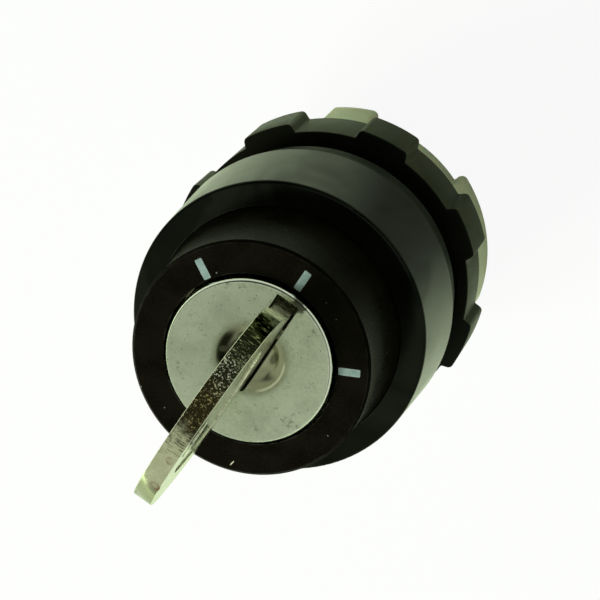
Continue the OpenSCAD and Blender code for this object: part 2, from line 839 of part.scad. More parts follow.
module rear_guide() {
    color("#2a2b2c") difference() {
        post(bore_r - fit_gap, guide_z, guide_top);
        for (s = [-1, 1])
            translate([s * plunger_x, 0, 0]) post(stem_r + run_gap, guide_z - eps, guide_top + eps);
        post(guide_hole_r, guide_z - eps, guide_top + eps);
    }
}

module plunger(side) {
    color("#e4e2d6") translate([side * plunger_x, 0, 0]) {
        translate([0, 0, head_z]) sphere(r = plunger_r, $fn = round_fn);
        post(plunger_r, collar_z, head_z);
        post(collar_r, collar_z, collar_z + collar_t);
        post(stem_r, stem_z, collar_z + eps);
    }
}

module plunger_spring(side) {
    color("#9a9a96") translate([side * plunger_x, 0, guide_top + spring_gap])
        coil(coil_r, coil_wire, collar_z - guide_top - 2 * spring_gap, 4);
}

bezel();
hub();
index_marks();
barrel();
gasket();
mounting_nut();
coupling_ring();
lock_shell();
shell_seal();
face_seal();
lock_cap();
lock_plug();
wafer(0);  // wafer_1
wafer(1);  // wafer_2
wafer(2);  // wafer_3
wafer(3);  // wafer_4
wafer(4);  // wafer_5
wafer_springs();
key();
plug_clip();
cam();
cam_screw();
detent_ball();
detent_spring();
rear_guide();
plunger(-1);  // plunger_left
plunger(1);  // plunger_right
plunger_spring(-1);  // spring_left
plunger_spring(1);  // spring_right
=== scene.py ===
import bpy
import math
from mathutils import Matrix, Vector


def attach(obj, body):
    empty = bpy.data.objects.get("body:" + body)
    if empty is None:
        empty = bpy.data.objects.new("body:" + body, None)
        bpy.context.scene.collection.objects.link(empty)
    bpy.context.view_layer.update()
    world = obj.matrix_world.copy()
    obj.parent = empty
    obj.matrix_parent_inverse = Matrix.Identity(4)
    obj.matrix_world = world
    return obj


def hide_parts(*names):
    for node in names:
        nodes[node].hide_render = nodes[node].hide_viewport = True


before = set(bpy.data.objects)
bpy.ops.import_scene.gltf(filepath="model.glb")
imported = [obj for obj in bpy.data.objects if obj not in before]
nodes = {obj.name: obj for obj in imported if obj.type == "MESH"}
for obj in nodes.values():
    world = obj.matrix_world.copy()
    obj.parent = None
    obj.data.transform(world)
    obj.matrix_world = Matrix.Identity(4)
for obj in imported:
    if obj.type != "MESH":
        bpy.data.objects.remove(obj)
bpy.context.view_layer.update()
mm = 0.001

# Camera. It stands where the photograph was taken from: in front of the lock face, above it, with the middle
# mark turned to the upper right. Its place and the three directions of its frame are in the part's own axes.
camera = bpy.data.objects.new("camera", bpy.data.cameras.new("camera"))
bpy.context.scene.collection.objects.link(camera)
bpy.context.scene.camera = camera
camera.data.sensor_width = 36
camera.data.lens = 150
camera.data.clip_start = 0.01
camera.data.clip_end = 10
camera_place = Vector((10.81, 99.54, 254.73)) * mm
camera_right = Vector((0.81625, 0.51483, -0.26207))
camera_up = Vector((-0.57605, 0.75955, -0.30207))
camera_back = Vector((0.04354, 0.39753, 0.91656))
camera.matrix_world = Matrix.Translation(camera_place) @ Matrix(
    (camera_right, camera_up, camera_back)).transposed().to_4x4()


# Floor and studio light. White paper under the barrel's rear rim, a room that is pale on the window's side, along
# the floor and in one part overhead, and one large soft lamp that throws the shadow to the upper right.
def add(tree, kind, inputs=None, **settings):
    """A shader node with its settings, its input values and its links."""
    made = tree.nodes.new("ShaderNode" + kind)
    for name, value in settings.items():
        setattr(made, name, value)
    for name, value in (inputs or {}).items():
        if isinstance(value, bpy.types.NodeSocket):
            tree.links.new(value, made.inputs[name])
        else:
            made.inputs[name].default_value = value
    return made


def maths(tree, operation, a, b=0.0, limit=False):
    """Output of a math node on values or sockets."""
    return add(tree, "Math", {0: a, 1: b}, operation=operation, use_clamp=limit).outputs[0]


def product(tree, first, *others):
    """Output of values or sockets multiplied together."""
    for other in others:
        first = maths(tree, "MULTIPLY", first, other)
    return first


def spread(tree, value, low, high, to_low=0.0, to_high=1.0, shape="SMOOTHSTEP"):
    """Output of a map range node: value from low..high to to_low..to_high, held at its ends."""
    return add(tree, "MapRange", {"Value": value, "From Min": low, "From Max": high, "To Min": to_low,
                                  "To Max": to_high}, interpolation_type=shape).outputs["Result"]


def dot_with(tree, vector, other):
    """Output of the dot product of a vector socket with a direction or another socket."""
    return add(tree, "VectorMath", {0: vector, 1: other}, operation="DOT_PRODUCT").outputs["Value"]


def feed(tree, taker, **sockets):
    """Links sockets to the inputs of a node, by the inputs' names."""
    for name, socket in sockets.items():
        tree.links.new(socket, taker.inputs[name.replace("_", " ")])


def new_material(name, **settings):
    """A node material and its Principled shader with plain values, by the sockets' names."""
    material = bpy.data.materials.new(name)
    material.use_nodes = True
    tree = material.node_tree
    shader = tree.nodes["Principled BSDF"]
    for socket, value in settings.items():
        shader.inputs[socket.replace("_", " ")].default_value = value
    return material, tree, shader


floor_half = 1.5
paper_colour = (0.71, 0.85, 0.56, 1)
paper_glow, mirrored_share = 0.93, 0.1
floor_mesh = bpy.data.meshes.new("floor")
floor_mesh.from_pydata([(-floor_half, -floor_half, 0), (floor_half, -floor_half, 0), (floor_half, floor_half, 0),
                        (-floor_half, floor_half, 0)], [], [(0, 1, 2, 3)])
floor = bpy.data.objects.new("floor", floor_mesh)
bpy.context.scene.collection.objects.link(floor)
white_paper, tree, shader = new_material("white_paper", Base_Color=paper_colour, Roughness=0.95)
path = add(tree, "LightPath")
mirrored = maths(tree, "ADD", path.outputs["Is Glossy Ray"], path.outputs["Is Transmission Ray"], limit=True)
seen = maths(tree, "ADD", path.outputs["Is Camera Ray"], product(tree, mirrored, mirrored_share), limit=True)
glow = add(tree, "Emission", {"Color": (1, 1, 1, 1), "Strength": 1.0})
paper = add(tree, "MixShader", {0: product(tree, seen, paper_glow), 1: shader.outputs[0], 2: glow.outputs[0]})
feed(tree, tree.nodes["Material Output"], Surface=paper.outputs[0])
floor_mesh.materials.append(white_paper)

window_way, window_edge, wall_dark, wall_light = (-0.25, -0.93, -0.2), (-0.16, 0.1), 0.05, 0.66
left_edge, left_share = (-0.68, -0.38), 0.12
ceiling_way, ceiling_edge, ceiling_light = (0.35, 0.1, 0.93), (0.64, 0.8), 0.56
horizon_edge, horizon_light = (0.1, 0.42), 0.64
room_colour, matt_share = (0.95, 1, 0.88, 1), 0.37
world = bpy.data.worlds.new("studio")
bpy.context.scene.world = world
world.use_nodes = True
tree = world.node_tree
sky = add(tree, "TexCoord").outputs["Generated"]
along_sky = add(tree, "SeparateXYZ", {0: sky})
wall = product(tree, spread(tree, dot_with(tree, sky, window_way), *window_edge, wall_dark, wall_light),
               spread(tree, along_sky.outputs["X"], *left_edge, left_share, 1.0))
overhead = spread(tree, dot_with(tree, sky, ceiling_way), *ceiling_edge, 0.0, ceiling_light)
horizon = spread(tree, along_sky.outputs["Z"], *horizon_edge, horizon_light, 0.0)
room = maths(tree, "MAXIMUM", maths(tree, "MAXIMUM", wall, overhead), horizon)
path = add(tree, "LightPath")
ambient = spread(tree, path.outputs["Is Diffuse Ray"], 0, 1, 1.0, matt_share)
room_light = tree.nodes["Background"]
room_light.inputs["Color"].default_value = room_colour
feed(tree, room_light, Strength=product(tree, room, ambient))
backdrop = add(tree, "Background", {"Color": (1, 1, 1, 1), "Strength": 1.0})
shown = add(tree, "MixShader", {0: path.outputs["Is Camera Ray"], 1: room_light.outputs[0], 2: backdrop.outputs[0]})
feed(tree, tree.nodes["World Output"], Surface=shown.outputs[0])


def soft_lamp(name, place, target, size, power):
    """A square area lamp at place, turned to target, both in millimetres."""
    lamp = bpy.data.objects.new(name, bpy.data.lights.new(name, "AREA"))
    bpy.context.scene.collection.objects.link(lamp)
    lamp.data.size = size * mm
    lamp.data.energy = power
    lamp.location = Vector(place) * mm
    lamp.rotation_mode = "QUATERNION"
    lamp.rotation_quaternion = (Vector(target) - Vector(place)).to_track_quat("-Z", "Y")
    return lamp


window = soft_lamp("window_light", place=(-340, -940, 660), target=(0, 0, 0), size=600, power=25.0)
window.visible_glossy = False
bpy.context.scene.view_settings.view_transform = "Standard"


# Bezel. A turned-looking ring of smooth black plastic with a rounded front edge, snapped over the barrel's boss.
# Its side tapers to the front, it has picked up a little dust, and its gloss changes in slanted streaks.
def effect(name, inputs, outputs):
    """An empty shader node group: its tree, its input node and its output node."""
    group = bpy.data.node_groups.new(name, "ShaderNodeTree")
    for label, kind, value in inputs:
        socket = group.interface.new_socket(label, in_out="INPUT", socket_type="NodeSocket" + kind)
        if value is not None:
            socket.default_value = value
    for label, kind in outputs:
        group.interface.new_socket(label, in_out="OUTPUT", socket_type="NodeSocket" + kind)
    return group, group.nodes.new("NodeGroupInput"), group.nodes.new("NodeGroupOutput")


def use(tree, group, **values):
    """A copy of an effect in a material, with its own values or links."""
    made = tree.nodes.new("ShaderNodeGroup")
    made.node_tree = group
    for name, value in values.items():
        socket = made.inputs[name.replace("_", " ")]
        if isinstance(value, bpy.types.NodeSocket):
            tree.links.new(value, socket)
        else:
            socket.default_value = value
    return made


def own_place(tree):
    """Coordinates that stay with the piece, in the part's own axes, in metres."""
    return add(tree, "TexCoord").outputs["Object"]


def noise(tree, place, scale, detail, **more):
    """Output of a noise texture, from 0 to 1."""
    return add(tree, "TexNoise", {"Vector": place, "Scale": scale, "Detail": detail, **more}).outputs["Fac"]


# Moulded skin: a fine grain with broad soft waves. Height is for a bump, Tone shades the colour.
moulded_skin, inside, outside = effect(
    "moulded_skin", [("Place", "Vector", None), ("Grain", "Float", 6000.0), ("Wave", "Float", 300.0)],
    [("Height", "Float"), ("Tone", "Float")])
fine = noise(moulded_skin, inside.outputs["Place"], inside.outputs["Grain"], 3.0, Roughness=0.6)
broad = noise(moulded_skin, inside.outputs["Place"], inside.outputs["Wave"], 2.0)
feed(moulded_skin, outside, Height=maths(moulded_skin, "ADD", fine, product(moulded_skin, broad, 0.6)),
     Tone=spread(moulded_skin, maths(moulded_skin, "ADD", fine, broad), 0.7, 1.3))

# Dust: rare pale specks of several sizes, and how bright each of them is.
dust, inside, outside = effect(
    "dust", [("Place", "Vector", None), ("Cells", "Float", 700.0), ("Share", "Float", 0.08),
             ("Size", "Float", 0.065)], [("Mask", "Float"), ("Tone", "Float")])
cells = add(dust, "TexVoronoi", {"Vector": inside.outputs["Place"], "Scale": inside.outputs["Cells"]})
picks = add(dust, "SeparateColor", {0: cells.outputs["Color"]})
chosen = maths(dust, "LESS_THAN", picks.outputs["Red"], inside.outputs["Share"])
reach = product(dust, inside.outputs["Size"], spread(dust, picks.outputs["Green"], 0, 1, 0.35, 1))
near = maths(dust, "LESS_THAN", cells.outputs["Distance"], reach)
feed(dust, outside, Mask=product(dust, chosen, near), Tone=picks.outputs["Blue"])

# Rubbed edges: a mask along outer edges, broken up by noise.
rubbed_edges, inside, outside = effect(
    "rubbed_edges", [("Place", "Vector", None), ("Width", "Float", 0.0002), ("Break", "Float", 900.0)],
    [("Mask", "Float")])
rounded = add(rubbed_edges, "Bevel", {"Radius": inside.outputs["Width"]}, samples=6).outputs[0]
true_normal = add(rubbed_edges, "NewGeometry").outputs["Normal"]
bend = spread(rubbed_edges, dot_with(rubbed_edges, rounded, true_normal), 0.995, 0.9)
patchy = noise(rubbed_edges, inside.outputs["Place"], inside.outputs["Break"], 3.0)
feed(rubbed_edges, outside, Mask=product(rubbed_edges, bend, spread(rubbed_edges, patchy, 0.35, 0.65)))


def bump(tree, height, strength, distance):
    """Normal from a height map, with distance in millimetres."""
    return add(tree, "Bump", {"Height": height, "Strength": strength, "Distance": distance * mm}).outputs["Normal"]


def mixed(tree, mask, a, b):
    """Colour a where the mask is 0 and colour b where it is 1."""
    blend = add(tree, "Mix", data_type="RGBA")
    for socket, value in ((blend.inputs["Factor"], mask), (blend.inputs["A"], a), (blend.inputs["B"], b)):
        if isinstance(value, bpy.types.NodeSocket):
            tree.links.new(value, socket)
        else:
            socket.default_value = value
    return blend.outputs["Result"]


def colour(r, g, b):
    return (r, g, b, 1)


def black_plastic(name, deep, pale, rough, grain, relief, specks, worn, index=1.26):
    """Moulded plastic, mostly black: grain, dust and edges that handling has rubbed a little lighter."""
    rubbed_grey, dust_grey = colour(0.05, 0.05, 0.04), colour(0.35, 0.36, 0.3)
    material, tree, shader = new_material(name, IOR=index, Specular_Tint=colour(0.85, 1, 0.72))
    place = own_place(tree)
    skin = use(tree, moulded_skin, Place=place, Grain=grain)
    fluff = use(tree, dust, Place=place, Share=specks)
    rub = use(tree, rubbed_edges, Place=place)
    base = mixed(tree, skin.outputs["Tone"], deep, pale)
    base = mixed(tree, product(tree, rub.outputs["Mask"], worn), base, rubbed_grey)
    base = mixed(tree, product(tree, fluff.outputs["Mask"], fluff.outputs["Tone"]), base, dust_grey)
    feed(tree, shader, Base_Color=base, Roughness=spread(tree, skin.outputs["Tone"], 0, 1, *rough),
         Normal=bump(tree, skin.outputs["Height"], 0.5, relief))
    return material


def finish_node(name, material):
    """Gives a solid from the frame its material."""
    slots = nodes[name].data.materials
    slots.clear()
    slots.append(material)


satin_black = black_plastic("satin_black_bezel", colour(0.001, 0.0014, 0.0008), colour(0.0026, 0.0032, 0.0018),
                            rough=(0.15, 0.21), grain=7000, relief=0.0025, specks=0.06, worn=0.5)
wipe_slant, wipe_stretch, wipe_scale, shine, wiped_shine = (0.5, 0.3, 0), (1, 1, 0.35), 170.0, 0.56, 0.26
tree = satin_black.node_tree
slanted = add(tree, "Mapping", {"Vector": own_place(tree), "Rotation": wipe_slant, "Scale": wipe_stretch})
wiped = noise(tree, slanted.outputs[0], wipe_scale, 2.0, Distortion=0.8)
feed(tree, tree.nodes["Principled BSDF"], Specular_IOR_Level=spread(tree, wiped, 0.42, 0.64, shine, wiped_shine))
finish_node("bezel", satin_black)


# Hub. A dial of matte warm-black plastic with a chamfered face and a hollow flank, moulded in one piece and
# clamped by the bezel. A pale fibre has settled on its face.
def distance_to(tree, place, point):
    """Output of the distance, in metres, from a point given in millimetres."""
    return add(tree, "VectorMath", {0: place, 1: Vector(point) * mm}, operation="DISTANCE").outputs["Value"]


warm_black = black_plastic("matte_warm_black_hub", colour(0.0022, 0.0018, 0.0009), colour(0.0062, 0.0054, 0.0032),
                           rough=(0.26, 0.36), grain=5200, relief=0.008, specks=0.3, worn=0.6, index=1.1)
fibre_start, fibre_end, fibre_slack = Vector((4.07, -10.22, 43.5)), Vector((4.17, -9.62, 43.5)), 0.01
fibre_pale = colour(0.6, 0.6, 0.42)
tree = warm_black.node_tree
shader = tree.nodes["Principled BSDF"]
place = own_place(tree)
past_ends = maths(tree, "ADD", distance_to(tree, place, fibre_start), distance_to(tree, place, fibre_end))
on_fibre = maths(tree, "LESS_THAN", past_ends, ((fibre_start - fibre_end).length + fibre_slack) * mm)
bare = shader.inputs["Base Color"].links[0].from_socket
feed(tree, shader, Base_Color=mixed(tree, on_fibre, bare, fibre_pale))
finish_node("hub", warm_black)

# Index marks. Three small bars of pale paint that fill shallow recesses in the hub, level with its face. Their
# edges are rubbed a little lighter.
mark_deep, mark_pale, mark_rubbed = colour(0.19, 0.29, 0.25), colour(0.3, 0.42, 0.37), colour(0.5, 0.58, 0.52)
mark_paint, tree, shader = new_material("pale_mark_paint", Roughness=0.55)
place = own_place(tree)
skin = use(tree, moulded_skin, Place=place, Grain=5000.0, Wave=900.0)
rub = use(tree, rubbed_edges, Place=place, Width=0.12 * mm)
base = mixed(tree, skin.outputs["Tone"], mark_deep, mark_pale)
base = mixed(tree, rub.outputs["Mask"], base, mark_rubbed)
feed(tree, shader, Base_Color=base, Normal=bump(tree, skin.outputs["Height"], 0.4, 0.006))
finish_node("index_marks", mark_paint)


# Barrel. The moulded nylon body that goes through the panel, with a flange in front. Its thread is a groove of
# V section that winds along the part behind the panel.
def cut_node(name, tool_name, points, faces):
    """Cuts a closed tool, given by its points in millimetres, out of a solid from the frame."""
    mesh = bpy.data.meshes.new(tool_name)
    mesh.from_pydata([Vector(point) * mm for point in points], [], faces)
    tool = bpy.data.objects.new(tool_name, mesh)
    bpy.context.scene.collection.objects.link(tool)
    tool.hide_render = True
    tool.hide_viewport = True
    cut = nodes[name].modifiers.new(tool_name, "BOOLEAN")
    cut.object = tool
    cut.solver = "EXACT"


def join_faces(name):
    """Joins the split corners of a solid from the frame and its triangles into whole faces."""
    weld = nodes[name].modifiers.new("joined_corners", "WELD")
    weld.merge_threshold = 0.002 * mm
    flat = nodes[name].modifiers.new("whole_faces", "DECIMATE")
    flat.decimate_type = "DISSOLVE"
    flat.angle_limit = math.radians(0.2)


nylon_black = black_plastic("black_nylon_barrel", colour(0.003, 0.0034, 0.002), colour(0.007, 0.007, 0.0045),
                            rough=(0.4, 0.5), grain=5200, relief=0.006, specks=0.05, worn=0.4)
finish_node("barrel", nylon_black)
thread_root, thread_out, thread_half, thread_pitch = 10.5, 11.3, 0.62, 1.5
thread_low, thread_high, thread_steps = 11.6, 18.7, 64
groove = ((thread_root, 0), (thread_out, -thread_half), (thread_out, thread_half))
points, faces = [], []
for i in range(int((thread_high - thread_low) / thread_pitch * thread_steps) + 1):
    turn, z = math.tau * i / thread_steps, thread_low + thread_pitch * i / thread_steps
    points += [(r * math.cos(turn), r * math.sin(turn), z + rise) for r, rise in groove]
    if i:
        faces += [(3 * i - 3 + k, 3 * i - 3 + (k + 1) % 3, 3 * i + (k + 1) % 3, 3 * i + k) for k in range(3)]
faces += [(2, 1, 0), tuple(len(points) - k for k in (3, 2, 1))]
join_faces("barrel")
cut_node("barrel", "barrel_thread", points, faces)

# Panel gasket. A flat ring of dull black rubber, stamped from sheet, that the nut's pull squeezes between the
# panel and the barrel's flange.
gasket_rubber = black_plastic("dull_gasket_rubber", colour(0.0024, 0.004, 0.0024), colour(0.005, 0.0075, 0.0045),
                              rough=(0.5, 0.65), grain=4200, relief=0.01, specks=0.1, worn=0.2)
finish_node("gasket", gasket_rubber)


# Mounting nut. A castellated ring of moulded black nylon that clamps the panel from behind. Its eight lugs are
# a little wider at the root and have rounded corners; its sides are scuffed and dusty, and its front faces are
# painted darker than its sides, as painted shade.
def ease_edges(name, width, segments, angle=32):
    """Rounds the edges of a solid from the frame."""
    bevel = nodes[name].modifiers.new("eased_edges", "BEVEL")
    bevel.width = width * mm
    bevel.segments = segments
    bevel.limit_method = "ANGLE"
    bevel.angle_limit = math.radians(angle)
    bevel.harden_normals = True
    bevel.use_clamp_overlap = True


def round_lugs(name, corners, lug_r, radius, low, high, steps=6):
    """Rounds the outer corners of lugs. A corner is a point of its flank and the flank's normal into the lug."""
    points, faces = [], []
    for (x, y), (across_x, across_y) in corners:
        from_flank = x * across_x + y * across_y + radius
        along = math.sqrt((lug_r - radius) ** 2 - from_flank ** 2)
        side = Vector((-across_y, across_x))
        if side.dot(Vector((x, y))) < 0:
            side = -side
        inward = Vector((across_x, across_y))
        middle = inward * from_flank + side * along
        outward = middle.normalized()
        turn = outward.angle(-inward)
        arc = []
        for i in range(steps + 1):
            share = i / steps
            towards = -inward * math.sin(turn * (1 - share)) + outward * math.sin(turn * share)
            arc.append(middle + radius * towards / math.sin(turn))
        loop = arc + [arc[-1] + outward, middle + 3 * radius * (outward - inward), arc[0] - inward]
        if (loop[1] - loop[0]).cross(loop[-1] - loop[0]) < 0:
            loop.reverse()
        start, count = len(points), len(loop)
        points += [(p.x, p.y, z) for z in (low, high) for p in loop]
        faces += [tuple(start + i for i in range(count - 1, -1, -1)),
                  tuple(start + count + i for i in range(count))]
        faces += [(start + i, start + (i + 1) % count, start + count + (i + 1) % count, start + count + i)
                  for i in range(count)]
    cut_node(name, name + "_corners", points, faces)


nut_black = black_plastic("black_nylon_nut", colour(0.016, 0.019, 0.0095), colour(0.05, 0.055, 0.029),
                          rough=(0.38, 0.5), grain=3400, relief=0.03, specks=0.08, worn=1.2)
# Painted shade: the faces that look forward are painted near-black, darker than the sides.
nut_front_painted_shade = colour(0.003, 0.003, 0.0015)
tree = nut_black.node_tree
shader = tree.nodes["Principled BSDF"]
to_front = add(tree, "SeparateXYZ", {0: add(tree, "NewGeometry").outputs["Normal"]}).outputs["Z"]
bare = shader.inputs["Base Color"].links[0].from_socket
feed(tree, shader, Base_Color=mixed(tree, spread(tree, to_front, 0.4, 0.9), bare, nut_front_painted_shade))
finish_node("mounting_nut", nut_black)
lug_count, first_lug, lug_half, lug_flare, lug_tip, lug_corner = 8, 8.7, 2.607, 0.2, 16.3, 0.55
below_nut, above_nut = 10.0, 18.0
flanks = []
for lug in range(lug_count):
    ahead = Vector((0, 1)) @ Matrix.Rotation(math.radians(-(first_lug + 360 / lug_count * lug)), 2)
    across = Vector((-ahead.y, ahead.x))
    for side in (-1, 1):
        into_lug = (-side * across - lug_flare * ahead).normalized()
        flanks.append((tuple(lug_tip * ahead + side * lug_half * across), tuple(into_lug)))
join_faces("mounting_nut")
round_lugs("mounting_nut", flanks, lug_tip, lug_corner, below_nut, above_nut)
ease_edges("mounting_nut", 0.25, 3)

# Coupling ring. Moulded from natural ivory nylon, waxy and slightly translucent, and turned onto the barrel's
# bayonet behind the nut. Two of its four lugs are narrow and two are wide.
ivory_deep, ivory_pale, ivory_rubbed = colour(0.62, 0.65, 0.45), colour(0.78, 0.8, 0.6), colour(0.86, 0.88, 0.7)
ivory_nylon, tree, shader = new_material("ivory_nylon_ring", Roughness=0.42, Subsurface_Weight=0.4,
                                         Subsurface_Scale=0.003)
place = own_place(tree)
skin = use(tree, moulded_skin, Place=place, Grain=3800.0, Wave=220.0)
rub = use(tree, rubbed_edges, Place=place)
base = mixed(tree, skin.outputs["Tone"], ivory_deep, ivory_pale)
base = mixed(tree, rub.outputs["Mask"], base, ivory_rubbed)
feed(tree, shader, Base_Color=base, Normal=bump(tree, skin.outputs["Height"], 0.4, 0.01))
finish_node("coupling_ring", ivory_nylon)
ring_lugs = ((-40.6, -20.5), (22.7, 78.7), (139.4, 159.5), (202.7, 258.7))
ring_tip, ring_corner, below_ring, above_ring = 15.0, 0.6, 4.0, 11.5
flanks = []
for start, end in ring_lugs:
    for angle, side in ((start, 1), (end, -1)):
        turn = math.radians(90 - angle)
        flanks.append(((ring_tip * math.cos(turn), ring_tip * math.sin(turn)),
                       (side * math.sin(turn), -side * math.cos(turn))))
join_faces("coupling_ring")
round_lugs("coupling_ring", flanks, ring_tip, ring_corner, below_ring, above_ring)
ease_edges("coupling_ring", 0.3, 3)


# Lock face. A pressed cap of stainless steel with a bead-blasted skin, a dish and the key's slot. The dish and the
# rounded edge are rubbed smooth; years of use have left grey stains, fine scratches and dark specks.
def turned(name, profile, turns=160):
    """A closed solid of revolution from a closed profile of (radius, height) points in millimetres."""
    points, faces, start = [], [], []
    for r, z in profile:
        start.append(len(points))
        count = turns if r > 0 else 1
        points += [(r * mm * math.cos(math.tau * i / turns), r * mm * math.sin(math.tau * i / turns), z * mm)
                   for i in range(count)]
    for k, (a, b) in enumerate(zip(start, start[1:] + start[:1])):
        thin_a = profile[k][0] == 0
        thin_b = profile[(k + 1) % len(profile)][0] == 0
        for i in range(turns):
            j = (i + 1) % turns
            corners = [a if thin_a else a + i, a if thin_a else a + j,
                       b if thin_b else b + j, b if thin_b else b + i]
            corners = list(dict.fromkeys(corners))
            if len(corners) > 2:
                faces.append(corners)
    mesh = bpy.data.meshes.new(name)
    mesh.from_pydata(points, [], faces)
    return mesh


def cut_away(mesh, cutter):
    """The mesh with the cutter's volume taken out of it."""
    whole = bpy.data.objects.new("whole", mesh)
    tool = bpy.data.objects.new("tool", cutter)
    for thing in (whole, tool):
        bpy.context.scene.collection.objects.link(thing)
    cut = whole.modifiers.new("cut", "BOOLEAN")
    cut.object = tool
    cut.solver = "EXACT"
    result = bpy.data.meshes.new_from_object(whole.evaluated_get(bpy.context.evaluated_depsgraph_get()))
    for thing in (whole, tool):
        bpy.data.objects.remove(thing)
    return result


def add_piece(name, mesh, body, material, sharp=35):
    """A new piece on a body, shaded smooth between its sharp edges."""
    mesh.materials.clear()
    mesh.materials.append(material)
    mesh.shade_smooth()
    mesh.set_sharp_from_angle(angle=math.radians(sharp))
    piece = bpy.data.objects.new(name, mesh)
    bpy.context.scene.collection.objects.link(piece)
    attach(piece, body)
    return piece


def eased_rim(outer_r, top, bends, steps=6):
    """Points of a rim from its side up to its top. A bend is its radius and the tilt, in degrees, it ends at."""
    drops, tilt = [(0.0, 0.0)], 90
    for radius, last in bends:
        for i in range(steps):
            low = math.radians(tilt + (last - tilt) * i / steps)
            high = math.radians(tilt + (last - tilt) * (i + 1) / steps)
            r, z = drops[-1]
            drops.append((r + radius * (math.sin(high) - math.sin(low)),
                          z + radius * (math.cos(high) - math.cos(low))))
        tilt = last
    return [(outer_r + r, top - drops[-1][1] + z) for r, z in drops]


def rounded_corner(middle_r, middle_z, radius, start, end, steps=5):
    """Points of an outline along an arc, from one angle to another in degrees."""
    turns = [math.radians(start + (end - start) * i / steps) for i in range(steps + 1)]
    return [(middle_r + radius * math.cos(a), middle_z + radius * math.sin(a)) for a in turns]


def band(tree, distance, start, end, low=0.0, high=1.0):
    """Mask over a distance socket, with its start and end in millimetres."""
    return spread(tree, distance, start * mm, end * mm, low, high)


face_radius, face_top, face_low, skirt_low, plug_radius = 8.15, 44.3, 43.0, 41.1, 7.35
rim_bends = ((0.3, 58), (0.9, 40), (0.15, 0))
cap_profile = [(0, face_top)] + eased_rim(face_radius, face_top, rim_bends)[::-1]
cap_profile += [(face_radius, skirt_low), (plug_radius, skirt_low), (plug_radius, face_low), (0, face_low)]
dish_middle = Vector((0.05, 0.5, 0))
dish_depths = ((0, 1.14), (0.5, 1.13), (1, 1.1), (1.4, 1.05), (1.7, 0.99), (1.95, 0.91), (2.15, 0.81), (2.35, 0.67),
               (2.55, 0.5), (2.75, 0.36), (2.95, 0.245), (3.15, 0.15), (3.35, 0.08), (3.5, 0.045), (3.65, 0.02),
               (3.8, 0.003), (3.95, -0.01), (4.2, -0.05), (4.2, -1))
dish_tool = turned("dish_tool", [(r, face_top - d) for r, d in dish_depths] + [(0, face_top + 1)])
dish_tool.transform(Matrix.Translation(dish_middle * mm))
slot_half, slot_low, slot_high, slot_round = 1.22, -3.0, 7.5, 0.55
below_slot, above_slot = 42.0, 45.0
slot_outline = [(slot_half, slot_high), (-slot_half, slot_high)]
slot_outline += rounded_corner(slot_round - slot_half, slot_low + slot_round, slot_round, 180, 270)
slot_outline += rounded_corner(slot_half - slot_round, slot_low + slot_round, slot_round, 270, 360)
corners = len(slot_outline)
slot_tool = bpy.data.meshes.new("slot_tool")
slot_tool.from_pydata([(x * mm, y * mm, z * mm) for z in (below_slot, above_slot) for x, y in slot_outline], [],
                      [tuple(range(corners - 1, -1, -1)), tuple(range(corners, 2 * corners))]
                      + [(i, (i + 1) % corners, corners + (i + 1) % corners, corners + i) for i in range(corners)])

# The face's colour: blasted steel with clouds, smears and clustered specks outside the dish.
steel_deep, steel_pale, cloud_grey = colour(0.5, 0.56, 0.41), colour(0.64, 0.7, 0.54), colour(0.4, 0.43, 0.31)
smear_grey, rim_shade_grey, dish_warm = colour(0.24, 0.26, 0.17), colour(0.3, 0.31, 0.22), colour(0.6, 0.57, 0.49)
speck_dark = colour(0.16, 0.17, 0.12)
face_steel, tree, shader = new_material("blasted_steel_face", Metallic=1.0)
place = own_place(tree)
skin = use(tree, moulded_skin, Place=place, Grain=3200.0, Wave=420.0)
spots = use(tree, dust, Place=place, Cells=3600.0, Share=0.2, Size=0.24)
flat_place = add(tree, "VectorMath", {0: place, 1: (1, 1, 0)}, operation="MULTIPLY").outputs[0]
from_axis = distance_to(tree, flat_place, (0, 0, 0))
from_dish = distance_to(tree, flat_place, dish_middle)
in_dish = band(tree, from_dish, 3.4, 2.9)
outside_dish = maths(tree, "SUBTRACT", 1.0, in_dish)
cloud = noise(tree, place, 260.0, 6.0, Roughness=0.62)
smear = noise(tree, place, 1500.0, 4.0, Roughness=0.7)
base = mixed(tree, skin.outputs["Tone"], steel_deep, steel_pale)
base = mixed(tree, spread(tree, cloud, 0.5, 0.72, 0, 0.5), base, cloud_grey)
smeared = product(tree, spread(tree, smear, 0.58, 0.7, 0, 0.7), outside_dish)
base = mixed(tree, smeared, base, smear_grey)
# Painted shade: a darker ring round the dish, just outside its rim.
rim_shade = product(tree, band(tree, from_dish, 4.3, 3.2), 0.4)
base = mixed(tree, rim_shade, base, rim_shade_grey)
base = mixed(tree, product(tree, in_dish, 0.5), base, dish_warm)
clustered = product(tree, spots.outputs["Mask"], spread(tree, cloud, 0.42, 0.56), outside_dish)
base = mixed(tree, clustered, base, speck_dark)

# Painted highlights: a bright ring on the outer rim's rounding, and a bright arc on the dish's lip on its right
# side.
rim_highlight, lip_highlight = colour(0.95, 1, 0.86), colour(1, 1, 0.85)
lip_way, lip_radius, lip_half = (0.98, -0.17, 0), 3.25, 0.12
base = mixed(tree, band(tree, from_axis, 7.91, 7.95), base, rim_highlight)
from_middle = add(tree, "VectorMath", {0: flat_place, 1: dish_middle * mm}, operation="SUBTRACT").outputs[0]
towards_rim = add(tree, "VectorMath", {0: from_middle}, operation="NORMALIZE").outputs[0]
on_lip = add(tree, "Math", {0: from_dish, 1: lip_radius * mm, 2: lip_half * mm}, operation="COMPARE").outputs[0]
on_lip = product(tree, on_lip, spread(tree, dot_with(tree, towards_rim, lip_way), 0.7, 0.9))
base = mixed(tree, on_lip, base, lip_highlight)
